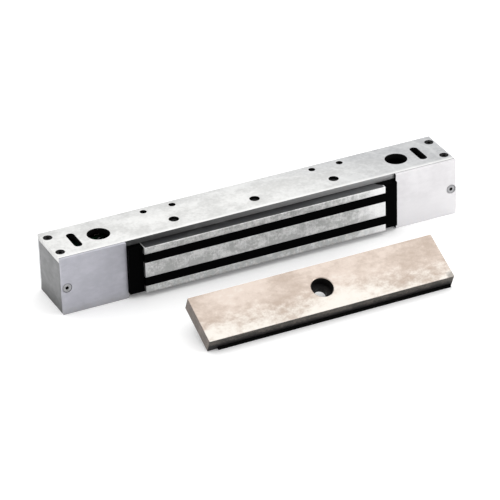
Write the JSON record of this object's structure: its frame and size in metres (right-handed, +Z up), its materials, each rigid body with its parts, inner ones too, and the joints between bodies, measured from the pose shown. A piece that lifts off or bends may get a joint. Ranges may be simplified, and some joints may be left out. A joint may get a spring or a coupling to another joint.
{
  "type": "magnetic door lock",
  "caption": "Low-profile electromagnetic door lock: long aluminium housing with end access covers and an E-core magnet, and the separate steel armature plate that it holds.",
  "frame": {"origin": "middle of the bounding box of the lock and the armature plate at rest, on the surface they lie on", "axes": "+X along the lock's length to its right end as the magnet is looked at, -Y the way the magnet faces, +Z up through the mounting plate"},
  "size_m": [0.308, 0.136, 0.0438],
  "materials": {
    "satin_aluminium": "satin, faintly mottled",
    "brushed_aluminium": "fine satin sheet, bluish grey",
    "bright_zinc_steel": "bright zinc plating",
    "black_oxide_steel": "black oxide",
    "ground_steel": "ground pole faces",
    "enamelled_copper": "enamelled copper wire",
    "black_epoxy": "cast black epoxy",
    "green_circuit_board": "green solder mask",
    "white_nylon": "natural nylon",
    "green_polyamide": "green polyamide",
    "black_polyester": "black polyester",
    "blue_epoxy": "blue epoxy dip",
    "plated_steel": "warm satin plating"
  },
  "bodies": {
    "lock_body": {"mounting_plate": "satin_aluminium", "left_end_plate": "brushed_aluminium", "right_end_plate": "brushed_aluminium", "rear_panel": "brushed_aluminium", "left_front_top_screw": "black_oxide_steel", "left_rear_top_screw": "black_oxide_steel", "right_front_top_screw": "black_oxide_steel", "right_rear_top_screw": "black_oxide_steel", "left_lower_back_screw": "black_oxide_steel", "left_upper_back_screw": "black_oxide_steel", "right_lower_back_screw": "black_oxide_steel", "right_upper_back_screw": "black_oxide_steel", "magnet_core": "ground_steel", "left_core_bolt": "black_oxide_steel", "middle_core_bolt": "black_oxide_steel", "right_core_bolt": "black_oxide_steel", "magnet_coil": "enamelled_copper", "coil_potting": "black_epoxy", "circuit_board": "green_circuit_board", "lower_board_spacer": "white_nylon", "upper_board_spacer": "white_nylon", "lower_board_screw": "bright_zinc_steel", "upper_board_screw": "bright_zinc_steel", "terminal_block": "green_polyamide", "jumper_header": "black_polyester", "surge_varistor": "blue_epoxy"},
    "armature": {"armature_plate": "plated_steel", "left_guide_pin": "bright_zinc_steel", "right_guide_pin": "bright_zinc_steel"},
    "left_cover": {"left_access_cover": "brushed_aluminium"},
    "right_cover": {"right_access_cover": "brushed_aluminium"},
    "left_cover_screw": {"left_cover_screw": "bright_zinc_steel"},
    "right_cover_screw": {"right_cover_screw": "bright_zinc_steel"},
    "left_terminal_screw": {"left_terminal_screw": "bright_zinc_steel"},
    "middle_terminal_screw": {"middle_terminal_screw": "bright_zinc_steel"},
    "right_terminal_screw": {"right_terminal_screw": "bright_zinc_steel"},
    "jumper": {"voltage_jumper": "black_polyester"}
  },
  "joints": [
    {"name": "door_closing", "type": "hinge", "parent": "lock_body", "child": "armature", "pos_m": [0.0068, -0.01387, -0.00299], "axis": [-1, 0, 0], "range_deg": [0, 114.95]},
    {"name": "left_cover_slide", "type": "slide", "parent": "lock_body", "child": "left_cover", "axis": [0, -1, 0], "range_m": [0, 0.045]},
    {"name": "right_cover_slide", "type": "slide", "parent": "lock_body", "child": "right_cover", "axis": [0, -1, 0], "range_m": [0, 0.045]},
    {"name": "left_cover_screw_turn", "type": "hinge", "parent": "left_cover", "child": "left_cover_screw", "pos_m": [-0.1501, 0.0268, 0.0205], "axis": [0, -1, 0], "continuous": true},
    {"name": "right_cover_screw_turn", "type": "hinge", "parent": "right_cover", "child": "right_cover_screw", "pos_m": [0.1501, 0.0268, 0.0205], "axis": [0, -1, 0], "continuous": true},
    {"name": "left_terminal_screw_turn", "type": "hinge", "parent": "lock_body", "child": "left_terminal_screw", "pos_m": [-0.12058, 0.052, 0.015], "axis": [0, -1, 0], "continuous": true},
    {"name": "middle_terminal_screw_turn", "type": "hinge", "parent": "lock_body", "child": "middle_terminal_screw", "pos_m": [-0.1155, 0.052, 0.015], "axis": [0, -1, 0], "continuous": true},
    {"name": "right_terminal_screw_turn", "type": "hinge", "parent": "lock_body", "child": "right_terminal_screw", "pos_m": [-0.11042, 0.052, 0.015], "axis": [0, -1, 0], "continuous": true},
    {"name": "jumper_pull", "type": "slide", "parent": "lock_body", "child": "jumper", "axis": [0, -1, 0], "range_m": [0, 0.009]}
  ]
}
